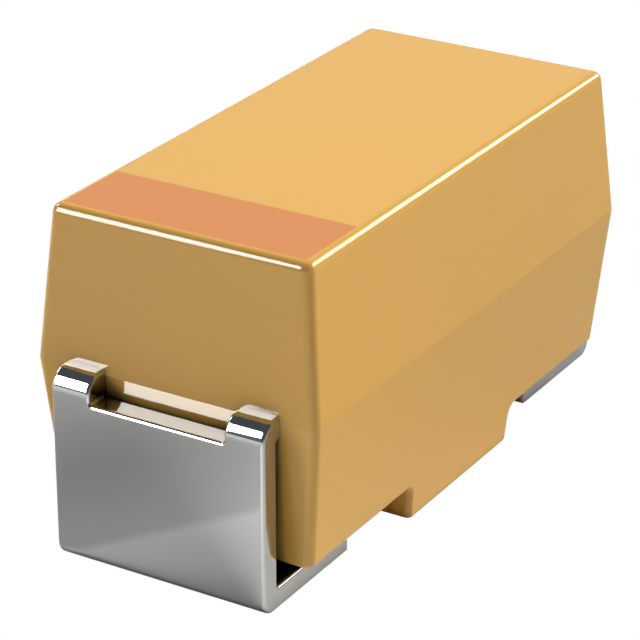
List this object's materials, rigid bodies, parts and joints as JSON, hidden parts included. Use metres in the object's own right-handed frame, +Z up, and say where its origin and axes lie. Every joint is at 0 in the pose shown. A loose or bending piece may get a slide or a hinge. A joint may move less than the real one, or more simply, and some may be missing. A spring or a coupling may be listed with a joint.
{
  "type": "tantalum capacitor",
  "caption": "Moulded surface-mount tantalum chip capacitor with folded tinned leads and a printed polarity stripe.",
  "frame": {"origin": "centre of the footprint on the seating plane that both feet rest on", "axes": "+X from the anode end, which has the stripe and the notched lead, to the cathode end; +Z up, away from the board"},
  "size_m": [0.0034, 0.0016, 0.0017],
  "materials": {
    "epoxy_amber": "gloss",
    "stripe_ink": "matte",
    "tinned_strip": "polished",
    "sintered_tantalum": "matte",
    "tantalum_wire": "satin",
    "silver_coat": "satin",
    "silver_paste": "satin",
    "washer_plastic": "matte"
  },
  "bodies": {
    "root": {"moulded_case": "epoxy_amber", "polarity_stripe": "stripe_ink", "anode_lead": "tinned_strip", "cathode_lead": "tinned_strip", "tantalum_pellet": "sintered_tantalum", "cathode_coat": "silver_coat", "riser_wire": "tantalum_wire", "insulating_washer": "washer_plastic", "silver_adhesive": "silver_paste"}
  },
  "joints": []
}
